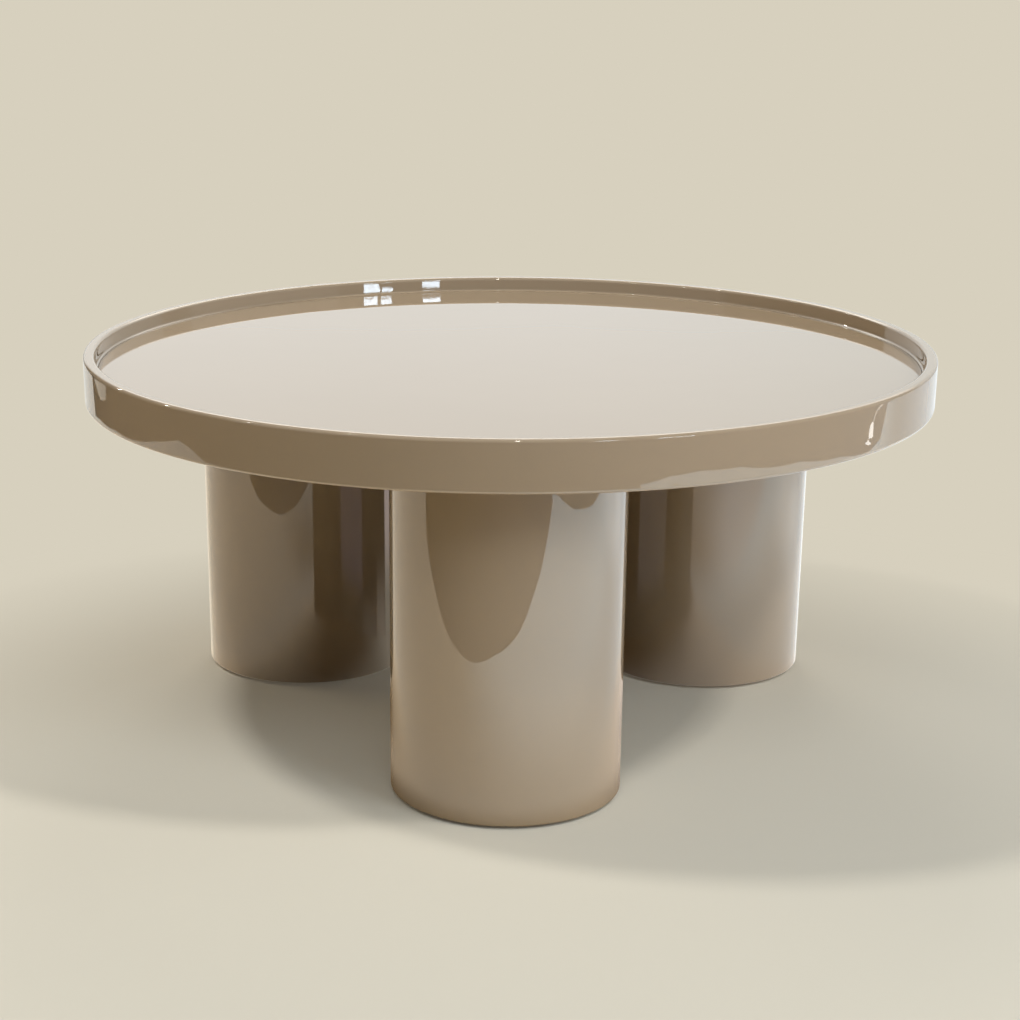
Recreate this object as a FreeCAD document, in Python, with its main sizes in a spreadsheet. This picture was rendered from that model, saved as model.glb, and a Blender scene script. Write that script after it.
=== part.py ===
"""Round cocktail table: a lacquered tray top on three hollow drum legs.

Millimetres, +Z up. The origin is on the floor under the middle of the top, and the
front leg stands towards -Y. Every size is a named cell of the sheet, and what seats
on, fits in or lines up with another piece is worked out from the same cells.
"""
import FreeCAD, Part
import os
import Sketcher

doc = FreeCAD.newDocument("CocktailTable")

SIZES = {
    # Top: two glued discs inside a bent hoop, which stands up round them as the tray's rim
    "top_diameter": 914,
    "table_height": 406,
    "tray_depth": 17,
    "tray_panel_thickness": 18,
    "under_panel_thickness": 16,
    "rim_thickness": 12.5,
    "rim_edge_radius": 2,
    "cove_radius": 2.5,
    "cove_lip": 0.5,
    "rebate_depth": 2,
    "glue_gap": 0.1,
    # Legs: bent tubes with a block glued in the top and a ring glued in the foot
    "drum_diameter": 235,
    "drum_inset": 68.5,
    "drum_wall": 10,
    "drum_edge_radius": 1.5,
    "top_block_thickness": 25,
    "base_ring_thickness": 18,
    "base_ring_width": 32,
    "eased_edge": 2,
    # Bolts that pull each leg against the top
    "bolts_per_leg": 3,
    "bolt_circle_radius": 62,
    "bolt_diameter": 8,
    "bolt_hole_clearance": 0.5,
    "bolt_head_diameter": 13,
    "bolt_head_height": 8,
    "bolt_head_edge": 0.8,
    "hex_key_size": 6,
    "hex_key_depth": 4,
    "flat_washer_diameter": 20,
    "flat_washer_thickness": 1.6,
    "spring_washer_diameter": 14.5,
    "spring_washer_thickness": 2.2,
    "spring_washer_split": 10,
    "washer_clearance": 0.3,
    # Threaded inserts in the under panel
    "insert_diameter": 12,
    "insert_flange_diameter": 16,
    "insert_flange_thickness": 1.5,
    "insert_end_gap": 3,
    "insert_fit": 0.1,
    "thread_clearance": 0.1,
    "thread_runout": 1.8,
    # Glides with moulded-in nails
    "glides_per_leg": 3,
    "glide_diameter": 25,
    "glide_standoff": 3,
    "glide_edge": 1,
    "nail_diameter": 2.5,
    "nail_head_diameter": 7,
    "nail_head_thickness": 1,
    "nail_length": 15,
    "nail_point": 4,
    "nail_fit": 0.05,
}

# Direction of each leg from the middle of the top, in degrees from +X
LEGS = {"front": -90, "rear_right": 30, "rear_left": 150}

sheet = doc.addObject("Spreadsheet::Sheet", "Sizes")
for row, (alias, value) in enumerate(SIZES.items(), start=1):
    sheet.set(f"A{row}", alias)
    sheet.set(f"B{row}", str(value))
    sheet.setAlias(f"B{row}", alias)
doc.recompute()

# Sizes that follow from the cells, as expressions
HOOP_BORE = "(Sizes.top_diameter / 2 - Sizes.rim_thickness)"
HOOP_TOE = f"({HOOP_BORE} - Sizes.cove_radius - Sizes.cove_lip)"
PANEL_RADIUS = f"({HOOP_BORE} - Sizes.glue_gap)"
TRAY_FLOOR = "(Sizes.under_panel_thickness + Sizes.tray_panel_thickness)"
HOOP_HEIGHT = f"({TRAY_FLOOR} + Sizes.tray_depth)"
UNDERSIDE = f"(Sizes.table_height - {HOOP_HEIGHT})"
LEG_CIRCLE = "(Sizes.top_diameter / 2 - Sizes.drum_inset - Sizes.drum_diameter / 2)"
DRUM_BORE = "(Sizes.drum_diameter / 2 - Sizes.drum_wall)"
DRUM_HEIGHT = f"({UNDERSIDE} - Sizes.glide_standoff)"
BLOCK_RADIUS = f"({DRUM_BORE} - Sizes.glue_gap)"
BLOCK_BOTTOM = f"({UNDERSIDE} - Sizes.top_block_thickness)"
RING_BORE = f"({BLOCK_RADIUS} - Sizes.base_ring_width)"
GLIDE_CIRCLE = f"({BLOCK_RADIUS} - Sizes.base_ring_width / 2)"
FLAT_WASHER_BOTTOM = f"({BLOCK_BOTTOM} - Sizes.flat_washer_thickness)"
BOLT_SEAT = f"({FLAT_WASHER_BOTTOM} - Sizes.spring_washer_thickness)"
INSERT_LENGTH = "(Sizes.under_panel_thickness - Sizes.insert_end_gap)"
BOLT_LENGTH = f"({UNDERSIDE} + {INSERT_LENGTH} - Sizes.thread_runout - {BOLT_SEAT})"
BOLT_RADIUS = "(Sizes.bolt_diameter / 2)"
BOLT_HOLE_RADIUS = f"({BOLT_RADIUS} + Sizes.bolt_hole_clearance)"
WASHER_BORE = f"({BOLT_RADIUS} + Sizes.washer_clearance)"
NAIL_RADIUS = "(Sizes.nail_diameter / 2)"
NAIL_HEAD_BOTTOM = "((Sizes.glide_standoff - Sizes.nail_head_thickness) / 2)"
NAIL_HEAD_TOP = "((Sizes.glide_standoff + Sizes.nail_head_thickness) / 2)"
NAIL_TIP = "(Sizes.glide_standoff + Sizes.nail_length)"

NEAR = 1e-4


def size(expression):
    """Number that an expression of the sheet's cells comes to."""
    return float(sheet.evalExpression(expression))


def origin_feature(body, role):
    return next(feature for feature in body.Origin.OriginFeatures if feature.Role == role)


def new_piece(label, azimuth=0, radius="0", height="0"):
    """Body whose local X points along the azimuth, set out on that line at a radius and height."""
    body = doc.addObject("PartDesign::Body", label)
    body.Label = label
    facing = FreeCAD.Rotation(FreeCAD.Vector(0, 0, 1), azimuth)
    body.Placement = FreeCAD.Placement(FreeCAD.Vector(), facing)
    body.setExpression("Placement.Base.x", f"{radius} * cos({azimuth} deg)")
    body.setExpression("Placement.Base.y", f"{radius} * sin({azimuth} deg)")
    body.setExpression("Placement.Base.z", height)
    return body


def sketch_on(body, role, name, x="0", z="0"):
    """Sketch on one of the body's own planes, moved along the plane's X and its normal."""
    sketch = body.newObject("Sketcher::SketchObject", name)
    sketch.AttachmentSupport = [(origin_feature(body, role), "")]
    sketch.MapMode = "FlatFace"
    sketch.setExpression("AttachmentOffset.Base.x", x)
    sketch.setExpression("AttachmentOffset.Base.z", z)
    return sketch


def bind(sketch, constraint, expression):
    index = sketch.addConstraint(constraint)
    sketch.setExpression(f"Constraints[{index}]", expression)


def draw_outline(sketch, corners):
    """Closed outline of straight lines, each corner held by its two expressions."""
    points = [FreeCAD.Vector(size(x), size(y), 0) for x, y in corners]
    ends = points[1:] + points[:1]
    first = sketch.GeometryCount
    for start, end in zip(points, ends):
        sketch.addGeometry(Part.LineSegment(start, end))
    for number, (point, (x, y)) in enumerate(zip(points, corners)):
        line = first + number
        following = first + (number + 1) % len(points)
        sketch.addConstraint(Sketcher.Constraint("Coincident", line, 2, following, 1))
        bind(sketch, Sketcher.Constraint("DistanceX", -1, 1, line, 1, point.x), x)
        bind(sketch, Sketcher.Constraint("DistanceY", -1, 1, line, 1, point.y), y)


def draw_circle(sketch, radius, x="0", y="0"):
    centre = FreeCAD.Vector(size(x), size(y), 0)
    circle = sketch.addGeometry(Part.Circle(centre, FreeCAD.Vector(0, 0, 1), size(radius)))
    bind(sketch, Sketcher.Constraint("DistanceX", -1, 1, circle, 3, centre.x), x)
    bind(sketch, Sketcher.Constraint("DistanceY", -1, 1, circle, 3, centre.y), y)
    bind(sketch, Sketcher.Constraint("Radius", circle, size(radius)), radius)


def pad(body, sketch, name, height):
    solid = body.newObject("PartDesign::Pad", name)
    solid.Profile = sketch
    solid.setExpression("Length", height)
    doc.recompute()
    return solid


def turn(body, name, corners, radius="0", sweep="360"):
    """Solid of revolution of an outline in radius and height, about an axis set out at a radius."""
    sketch = sketch_on(body, "XZ_Plane", f"{name}Outline", x=radius)
    draw_outline(sketch, corners)
    solid = body.newObject("PartDesign::Revolution", name)
    solid.Profile = sketch
    solid.ReferenceAxis = (sketch, ["V_Axis"])
    solid.setExpression("Angle", sweep)
    doc.recompute()
    return solid


def cut_up(body, sketch, name, depth=None):
    """Pocket from the sketch upwards, right through where no depth is given."""
    volume_before = body.Tip.Shape.Volume
    cut = body.newObject("PartDesign::Pocket", name)
    cut.Profile = sketch
    cut.Reversed = True
    if depth is None:
        cut.Type = "ThroughAll"
    else:
        cut.setExpression("Length", depth)
    doc.recompute()
    if cut.Shape.Volume > volume_before - NEAR:
        raise SystemExit(f"{body.Label}: {name} cuts nothing")
    return cut


def ring_edges(feature, radius, height, axis_x="0"):
    """Names of the feature's round edges of that radius and height about an axis at axis_x."""
    centre = FreeCAD.Vector(size(axis_x), 0, size(height))
    names = []
    for number, edge in enumerate(feature.Shape.Edges, start=1):
        if not isinstance(edge.Curve, Part.Circle):
            continue
        same_radius = abs(edge.Curve.Radius - size(radius)) < NEAR
        if same_radius and edge.Curve.Center.distanceToPoint(centre) < NEAR:
            names.append(f"Edge{number}")
    return names


def round_off(body, base, name, edges, radius):
    fillet = body.newObject("PartDesign::Fillet", name)
    fillet.Base = (base, edges)
    fillet.setExpression("Radius", radius)
    doc.recompute()
    return fillet


def ease(body, base, name, edges, width):
    chamfer = body.newObject("PartDesign::Chamfer", name)
    chamfer.Base = (base, edges)
    chamfer.setExpression("Size", width)
    doc.recompute()
    return chamfer


def repeat_round(body, name, count, features=None):
    """Repeat features, or the whole solid where none are given, evenly about the body's Z axis."""
    pattern = body.newObject("PartDesign::PolarPattern", name)
    if features is None:
        pattern.TransformMode = "Whole shape"
    else:
        pattern.Originals = features
    pattern.Axis = (origin_feature(body, "Z_Axis"), [""])
    pattern.Angle = 360
    pattern.setExpression("Occurrences", count)
    body.Tip = pattern
    doc.recompute()
    return pattern


def rim_hoop():
    """Bent hoop: apron below, rim of the tray above.

    A toe inside it seats in the tray panel's rebate, flush with the tray's floor, and a cove
    leads from the toe up to the rim's wall.
    """
    body = new_piece("rim_hoop", height=UNDERSIDE)
    outside = "Sizes.top_diameter / 2"
    toe_seat = f"({TRAY_FLOOR} - Sizes.rebate_depth)"
    hoop = turn(body, "Hoop", [
        (outside, "0"),
        (outside, HOOP_HEIGHT),
        (HOOP_BORE, HOOP_HEIGHT),
        (HOOP_BORE, TRAY_FLOOR),
        (HOOP_TOE, TRAY_FLOOR),
        (HOOP_TOE, toe_seat),
        (HOOP_BORE, toe_seat),
        (HOOP_BORE, "0"),
    ])
    coved = round_off(body, hoop, "Cove", ring_edges(hoop, HOOP_BORE, TRAY_FLOOR), "Sizes.cove_radius")
    arrises = (
        ring_edges(coved, outside, "0")
        + ring_edges(coved, outside, HOOP_HEIGHT)
        + ring_edges(coved, HOOP_BORE, HOOP_HEIGHT)
    )
    round_off(body, coved, "Arrises", arrises, "Sizes.rim_edge_radius")
    return body


def tray_panel():
    """Lacquered disc that is the floor of the tray, rebated round its edge for the hoop's toe."""
    body = new_piece("tray_panel", height=f"{UNDERSIDE} + Sizes.under_panel_thickness")
    top = "Sizes.tray_panel_thickness"
    floor_radius = f"({HOOP_TOE} - Sizes.glue_gap)"
    rebate_floor = f"({top} - Sizes.rebate_depth)"
    turn(body, "Panel", [
        ("0", "0"),
        (PANEL_RADIUS, "0"),
        (PANEL_RADIUS, rebate_floor),
        (floor_radius, rebate_floor),
        (floor_radius, top),
        ("0", top),
    ])
    return body


def under_panel():
    """Disc glued under the tray panel, flush with the hoop, bored for the threaded inserts."""
    body = new_piece("under_panel", azimuth=LEGS["front"], height=UNDERSIDE)
    sketch = sketch_on(body, "XY_Plane", "Disc")
    draw_circle(sketch, PANEL_RADIUS)
    pad(body, sketch, "Panel", "Sizes.under_panel_thickness")
    bores = sketch_on(body, "XY_Plane", "InsertBores")
    sinkings = sketch_on(body, "XY_Plane", "FlangeSinkings")
    count = round(size("Sizes.bolts_per_leg"))
    for number in range(count):
        angle = f"{number} * 360 deg / {count}"
        x = f"{LEG_CIRCLE} + Sizes.bolt_circle_radius * cos({angle})"
        y = f"Sizes.bolt_circle_radius * sin({angle})"
        draw_circle(bores, "Sizes.insert_diameter / 2 + Sizes.insert_fit", x, y)
        draw_circle(sinkings, "Sizes.insert_flange_diameter / 2 + Sizes.insert_fit", x, y)
    bored = cut_up(body, bores, "Bores")
    sunk = cut_up(body, sinkings, "Sinkings", "Sizes.insert_flange_thickness")
    repeat_round(body, "EachLeg", str(len(LEGS)), [bored, sunk])
    return body


def leg_drum(leg, azimuth):
    """Bent tube, lacquered outside, open at the foot."""
    body = new_piece(f"leg_drum_{leg}", azimuth, LEG_CIRCLE, "Sizes.glide_standoff")
    outside = "Sizes.drum_diameter / 2"
    tube = turn(body, "Tube", [
        (DRUM_BORE, "0"),
        (outside, "0"),
        (outside, DRUM_HEIGHT),
        (DRUM_BORE, DRUM_HEIGHT),
    ])
    round_off(body, tube, "FootEdge", ring_edges(tube, outside, "0"), "Sizes.drum_edge_radius")
    return body


def leg_top_block(leg, azimuth):
    """Plywood disc glued into the top of a drum, with a clearance hole for each bolt."""
    body = new_piece(f"leg_top_block_{leg}", azimuth, LEG_CIRCLE, BLOCK_BOTTOM)
    sketch = sketch_on(body, "XY_Plane", "Disc")
    draw_circle(sketch, BLOCK_RADIUS)
    disc = pad(body, sketch, "Block", "Sizes.top_block_thickness")
    ease(body, disc, "LowerEdge", ring_edges(disc, BLOCK_RADIUS, "0"), "Sizes.eased_edge")
    holes = sketch_on(body, "XY_Plane", "BoltHole")
    draw_circle(holes, BOLT_HOLE_RADIUS, "Sizes.bolt_circle_radius")
    drilled = cut_up(body, holes, "Drilled")
    repeat_round(body, "BoltCircle", "Sizes.bolts_per_leg", [drilled])
    return body


def leg_base_ring(leg, azimuth):
    """Plywood ring glued into the foot of a drum, flush with its edge, holding the glides."""
    body = new_piece(f"leg_base_ring_{leg}", azimuth, LEG_CIRCLE, "Sizes.glide_standoff")
    sketch = sketch_on(body, "XY_Plane", "Ring")
    draw_circle(sketch, BLOCK_RADIUS)
    draw_circle(sketch, RING_BORE)
    ring = pad(body, sketch, "BaseRing", "Sizes.base_ring_thickness")
    inner = ring_edges(ring, RING_BORE, "0") + ring_edges(ring, RING_BORE, "Sizes.base_ring_thickness")
    ease(body, ring, "InnerEdges", inner, "Sizes.eased_edge")
    holes = sketch_on(body, "XY_Plane", "NailHole")
    draw_circle(holes, f"{NAIL_RADIUS} + Sizes.nail_fit", GLIDE_CIRCLE)
    drilled = cut_up(body, holes, "Drilled")
    repeat_round(body, "GlideCircle", "Sizes.glides_per_leg", [drilled])
    return body


def leg_bolts(leg, azimuth):
    """Socket-head bolts, head down, that screw up through the block into the inserts."""
    body = new_piece(f"leg_bolts_{leg}", azimuth, LEG_CIRCLE, BOLT_SEAT)
    head_radius = "Sizes.bolt_head_diameter / 2"
    head_bottom = "-Sizes.bolt_head_height"
    bolt = turn(body, "Bolt", [
        ("0", head_bottom),
        (head_radius, head_bottom),
        (head_radius, "0"),
        (BOLT_RADIUS, "0"),
        (BOLT_RADIUS, BOLT_LENGTH),
        ("0", BOLT_LENGTH),
    ], radius="Sizes.bolt_circle_radius")
    edge = ring_edges(bolt, head_radius, head_bottom, "Sizes.bolt_circle_radius")
    ease(body, bolt, "HeadEdge", edge, "Sizes.bolt_head_edge")
    socket = sketch_on(body, "XY_Plane", "KeySocket", x="Sizes.bolt_circle_radius", z=head_bottom)
    corner_radius = "Sizes.hex_key_size / sqrt(3)"
    corners = []
    for number in range(6):
        angle = f"{number} * 60 deg"
        corners.append((f"{corner_radius} * cos({angle})", f"{corner_radius} * sin({angle})"))
    draw_outline(socket, corners)
    cut_up(body, socket, "Socket", "Sizes.hex_key_depth")
    repeat_round(body, "BoltCircle", "Sizes.bolts_per_leg")
    return body


def washers(label, azimuth, bottom, diameter, thickness, sweep="360"):
    """One washer round each bolt of a leg, a full ring or one with a split."""
    body = new_piece(label, azimuth, LEG_CIRCLE, bottom)
    outside = f"{diameter} / 2"
    turn(body, "Washer", [
        (WASHER_BORE, "0"),
        (outside, "0"),
        (outside, thickness),
        (WASHER_BORE, thickness),
    ], radius="Sizes.bolt_circle_radius", sweep=sweep)
    repeat_round(body, "BoltCircle", "Sizes.bolts_per_leg")
    return body


def leg_flat_washers(leg, azimuth):
    """Wide plain washers that spread each bolt's pull on the plywood."""
    return washers(f"leg_flat_washers_{leg}", azimuth, FLAT_WASHER_BOTTOM,
                   "Sizes.flat_washer_diameter", "Sizes.flat_washer_thickness")


def leg_spring_washers(leg, azimuth):
    """Split washers between the flat washers and the bolt heads."""
    return washers(f"leg_spring_washers_{leg}", azimuth, BOLT_SEAT,
                   "Sizes.spring_washer_diameter", "Sizes.spring_washer_thickness",
                   sweep="360 - Sizes.spring_washer_split")


def leg_inserts(leg, azimuth):
    """Flanged threaded inserts, sunk flush into the under panel."""
    body = new_piece(f"leg_inserts_{leg}", azimuth, LEG_CIRCLE, UNDERSIDE)
    bore = f"({BOLT_RADIUS} + Sizes.thread_clearance)"
    flange = "Sizes.insert_flange_diameter / 2"
    outside = "Sizes.insert_diameter / 2"
    turn(body, "Insert", [
        (bore, "0"),
        (flange, "0"),
        (flange, "Sizes.insert_flange_thickness"),
        (outside, "Sizes.insert_flange_thickness"),
        (outside, INSERT_LENGTH),
        (bore, INSERT_LENGTH),
    ], radius="Sizes.bolt_circle_radius")
    repeat_round(body, "BoltCircle", "Sizes.bolts_per_leg")
    return body


def leg_glides(leg, azimuth):
    """Nylon glides under the base ring, each moulded round the head of its nail."""
    body = new_piece(f"leg_glides_{leg}", azimuth, LEG_CIRCLE)
    outside = "Sizes.glide_diameter / 2"
    head_space = "Sizes.nail_head_diameter / 2 + Sizes.nail_fit"
    shank_space = f"{NAIL_RADIUS} + Sizes.nail_fit"
    glide = turn(body, "Glide", [
        ("0", "0"),
        (outside, "0"),
        (outside, "Sizes.glide_standoff"),
        (shank_space, "Sizes.glide_standoff"),
        (shank_space, f"{NAIL_HEAD_TOP} + Sizes.nail_fit"),
        (head_space, f"{NAIL_HEAD_TOP} + Sizes.nail_fit"),
        (head_space, NAIL_HEAD_BOTTOM),
        ("0", NAIL_HEAD_BOTTOM),
    ], radius=GLIDE_CIRCLE)
    edge = ring_edges(glide, outside, "0", GLIDE_CIRCLE)
    ease(body, glide, "RunningEdge", edge, "Sizes.glide_edge")
    repeat_round(body, "GlideCircle", "Sizes.glides_per_leg")
    return body


def glide_nails(leg, azimuth):
    """Steel nails, headed inside the glides and driven up into the base ring."""
    body = new_piece(f"glide_nails_{leg}", azimuth, LEG_CIRCLE)
    head_radius = "Sizes.nail_head_diameter / 2"
    turn(body, "Nail", [
        ("0", NAIL_HEAD_BOTTOM),
        (head_radius, NAIL_HEAD_BOTTOM),
        (head_radius, NAIL_HEAD_TOP),
        (NAIL_RADIUS, NAIL_HEAD_TOP),
        (NAIL_RADIUS, f"{NAIL_TIP} - Sizes.nail_point"),
        ("0", NAIL_TIP),
    ], radius=GLIDE_CIRCLE)
    repeat_round(body, "GlideCircle", "Sizes.glides_per_leg")
    return body


LEG_PIECES = (
    leg_drum,
    leg_top_block,
    leg_base_ring,
    leg_bolts,
    leg_flat_washers,
    leg_spring_washers,
    leg_inserts,
    leg_glides,
    glide_nails,
)

pieces = [rim_hoop(), tray_panel(), under_panel()]
for leg, azimuth in LEGS.items():
    for make_piece in LEG_PIECES:
        pieces.append(make_piece(leg, azimuth))

doc.recompute()
for item in doc.Objects:
    if "Invalid" in item.State or "Error" in item.State:
        raise SystemExit(f"{item.Label} failed: {item.State}")
for piece in pieces:
    if piece.Shape.isNull() or not piece.Shape.isValid():
        raise SystemExit(f"{piece.Label} has no valid shape")

os.makedirs("parts", exist_ok=True)
for piece in pieces:
    piece.Shape.exportStep(f"parts/{piece.Label}.step")
    print(f"{piece.Label}: {len(piece.Shape.Solids)} solids, {piece.Shape.Volume / 1000:.2f} cm3")
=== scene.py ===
import math

import bpy
import numpy as np
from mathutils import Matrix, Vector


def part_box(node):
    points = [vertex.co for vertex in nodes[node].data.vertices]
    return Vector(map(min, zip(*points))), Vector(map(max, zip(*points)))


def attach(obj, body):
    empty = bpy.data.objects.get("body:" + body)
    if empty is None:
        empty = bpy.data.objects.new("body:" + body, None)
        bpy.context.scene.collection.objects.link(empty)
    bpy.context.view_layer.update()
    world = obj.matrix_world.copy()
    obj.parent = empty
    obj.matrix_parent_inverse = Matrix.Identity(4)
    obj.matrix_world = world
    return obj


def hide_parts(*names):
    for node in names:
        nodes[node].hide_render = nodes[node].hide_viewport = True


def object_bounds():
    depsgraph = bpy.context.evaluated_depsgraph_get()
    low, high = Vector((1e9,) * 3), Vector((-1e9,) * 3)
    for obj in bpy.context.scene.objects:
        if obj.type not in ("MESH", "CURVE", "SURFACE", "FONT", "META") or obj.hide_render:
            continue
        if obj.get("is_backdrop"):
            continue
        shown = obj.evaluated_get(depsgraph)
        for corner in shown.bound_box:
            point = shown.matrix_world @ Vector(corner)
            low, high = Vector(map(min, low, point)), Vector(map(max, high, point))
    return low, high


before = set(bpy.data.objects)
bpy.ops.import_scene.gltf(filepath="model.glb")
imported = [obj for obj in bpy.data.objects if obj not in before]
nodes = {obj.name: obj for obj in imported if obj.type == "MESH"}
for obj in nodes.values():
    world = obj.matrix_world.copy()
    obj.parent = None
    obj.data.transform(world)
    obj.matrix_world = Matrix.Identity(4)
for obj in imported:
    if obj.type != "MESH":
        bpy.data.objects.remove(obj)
cad_low, cad_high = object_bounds()


# Tray floor: a round panel of fibreboard, sprayed with taupe lacquer and polished to a mirror.
# A shallow rebate round its edge takes the toe of the rim hoop, flush with the floor.

ARC_STEPS = 9
GUARD = 0.0004


def eased_outline(corners):
    """Outline of (radius, height, rounding) corners, in metres, with every corner rounded.

    An arc of the rounding's radius touches both edges of its corner: its centre lies on their
    bisector, and its points swing from one touching point to the other. A guard point just past
    each end of the arc keeps the flats beside it flat. A corner with no rounding is one point.
    """
    points = np.array([corner[:2] for corner in corners], float)
    stations = []
    for before, at, after, corner in zip(np.roll(points, 1, 0), points, np.roll(points, -1, 0), corners):
        rounding = corner[2]
        if rounding == 0:
            stations.append(at[None])
            continue
        back = (before - at) / np.linalg.norm(before - at)
        ahead = (after - at) / np.linalg.norm(after - at)
        half = math.acos(np.clip(back @ ahead, -1, 1)) / 2
        reach = rounding / math.tan(half)
        middle = at + (back + ahead) / np.linalg.norm(back + ahead) * rounding / math.sin(half)
        first = at + back * reach - middle
        last = at + ahead * reach - middle
        swing = math.pi - 2 * half
        step = np.linspace(0, 1, ARC_STEPS)[:, None]
        swept = np.sin((1 - step) * swing) * first + np.sin(step * swing) * last
        arc = middle + swept / math.sin(swing)
        stations += [(at + back * (reach + GUARD))[None], arc, (at + ahead * (reach + GUARD))[None]]
    return np.concatenate(stations)


def turned(name, outline, centre, count):
    """Surface of revolution: the outline's (radius, height) stations, carried round an upright axis.

    Point (i, j) is station i turned by j / count of a full turn about the centre. An outline that
    starts and ends on the axis closes there in two fans of triangles. Any other closes on itself.
    """
    angle = np.arange(count) * 2 * math.pi / count
    solid = outline[0, 0] == 0
    radius, height = (outline[1:-1] if solid else outline).T
    around = np.stack([np.cos(angle), np.sin(angle)], axis=-1)
    flat = np.asarray(centre) + radius[:, None, None] * around
    upright = np.broadcast_to(height[:, None, None], flat.shape[:2] + (1,))
    points = np.concatenate([flat, upright], axis=-1).reshape(-1, 3)
    here = np.arange(len(points)).reshape(radius.size, count)
    beside = np.roll(here, -1, axis=1)
    above = np.roll(here, -1, axis=0)
    beside_above = np.roll(beside, -1, axis=0)
    bands = np.stack([here, beside, beside_above, above], axis=-1)
    if solid:
        bands = bands[:-1]
    faces = bands.reshape(-1, 4).tolist()
    if solid:
        foot = np.full(count, len(points))
        crown = foot + 1
        ends = [[*centre, outline[0, 1]], [*centre, outline[-1, 1]]]
        points = np.concatenate([points, ends])
        faces += np.stack([foot, beside[0], here[0]], axis=-1).tolist()
        faces += np.stack([here[-1], beside[-1], crown], axis=-1).tolist()
    mesh = bpy.data.meshes.new(name)
    mesh.from_pydata(points.tolist(), [], faces)
    mesh.shade_smooth()
    return bpy.data.objects.new(name, mesh)


def set_in(piece, finish, slot, *stands_for):
    """Link a piece, give it its finish and let it stand for its CAD nodes."""
    bpy.context.scene.collection.objects.link(piece)
    piece.data.materials.append(finish)
    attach(piece, "root")
    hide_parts(*stands_for)


def add_node(tree, kind, links=None, **settings):
    """Shader node with its sockets set by name, or linked from other nodes' outputs."""
    node = tree.nodes.new(kind)
    for name, value in settings.items():
        if name in node.inputs:
            node.inputs[name].default_value = value
        else:
            setattr(node, name, value)
    for name, output in (links or {}).items():
        tree.links.new(output, node.inputs[name])
    return node


def new_finish(name):
    """Empty material with its tree, its shader and the object coordinates of the surface."""
    material = bpy.data.materials.new(name)
    material.use_nodes = True
    tree = material.node_tree
    place = add_node(tree, "ShaderNodeTexCoord").outputs["Object"]
    return material, tree, tree.nodes["Principled BSDF"], place


NOISE_LOW = 0.3
NOISE_HIGH = 0.7


def mottle(tree, place, size, detail, spread=(0.0, 1.0)):
    """Noise of the given grain size in metres, whose usual range is spread between two values."""
    grain = add_node(tree, "ShaderNodeTexNoise", {"Vector": place}, Scale=1 / size, Detail=detail)
    result = add_node(
        tree, "ShaderNodeMapRange", {"Value": grain.outputs["Fac"]},
        **{"From Min": NOISE_LOW, "From Max": NOISE_HIGH, "To Min": spread[0], "To Max": spread[1]},
    )
    return result.outputs["Result"]


def two_tones(tree, share, first, second):
    """Colour that runs from the first tone to the second with the share."""
    mix = add_node(tree, "ShaderNodeMix", data_type="RGBA")
    tree.links.new(share, mix.inputs["Factor"])
    mix.inputs["A"].default_value = (*first, 1)
    mix.inputs["B"].default_value = (*second, 1)
    return mix.outputs["Result"]


def relief(tree, height, depth, under=None):
    """Bump of a height field whose full range stands for a depth in metres."""
    bump = add_node(tree, "ShaderNodeBump", {"Height": height}, Strength=1.0, Distance=depth)
    if under is not None:
        tree.links.new(under, bump.inputs["Normal"])
    return bump.outputs["Normal"]


LACQUER_TONE = (0.303, 0.228, 0.147)
LACQUER_TONE_DEEP = (0.292, 0.219, 0.140)
LACQUER_IOR = 1.65
LACQUER_CLOUD = 0.22
HAZE_GRAIN = 0.03
HAZE_ROUGHNESS = (0.006, 0.014)
FLOW_WAVE = 0.11
FLOW_DEPTH = 0.00004
PEEL_GRAIN = 0.006
PEEL_DEPTH = 0.0000006


def taupe_lacquer():
    """Polished lacquer: even taupe, a mirror gloss, faint buffing haze and a long low flow wave."""
    material, tree, shader, place = new_finish("taupe_lacquer")
    cloud = mottle(tree, place, LACQUER_CLOUD, detail=3.0)
    tree.links.new(two_tones(tree, cloud, LACQUER_TONE, LACQUER_TONE_DEEP), shader.inputs["Base Color"])
    haze = mottle(tree, place, HAZE_GRAIN, detail=4.0, spread=HAZE_ROUGHNESS)
    tree.links.new(haze, shader.inputs["Roughness"])
    wave = relief(tree, mottle(tree, place, FLOW_WAVE, detail=0.0), FLOW_DEPTH)
    peel = relief(tree, mottle(tree, place, PEEL_GRAIN, detail=1.0), PEEL_DEPTH, wave)
    tree.links.new(peel, shader.inputs["Normal"])
    shader.inputs["IOR"].default_value = LACQUER_IOR
    return material


lacquer = taupe_lacquer()
ROUND_COUNT = 384
REBATE_WIDTH = 0.003
REBATE_DEPTH = 0.002
HIDDEN_EDGE = 0.0002

panel_low, panel_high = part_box("tray_panel")
panel_radius = panel_high.x
floor_height = panel_high.z
tray_floor = turned("tray_floor_lacquered", eased_outline([
    (0, panel_low.z, 0),
    (panel_radius, panel_low.z, HIDDEN_EDGE),
    (panel_radius, floor_height - REBATE_DEPTH, HIDDEN_EDGE),
    (panel_radius - REBATE_WIDTH, floor_height - REBATE_DEPTH, HIDDEN_EDGE),
    (panel_radius - REBATE_WIDTH, floor_height, HIDDEN_EDGE),
    (0, floor_height, 0),
]), (0, 0), ROUND_COUNT)
set_in(tray_floor, lacquer, "taupe_lacquer", "tray_panel")


# Rim hoop: bent from thin layers glued over a round former, apron below and tray rim above.
# Its arrises are rounded by hand before spraying, and a small cove runs into the tray floor.

RIM_WALL = 0.0125
RIM_ARRIS = 0.0035
COVE = 0.0025
TOE_REACH = 0.003

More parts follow.
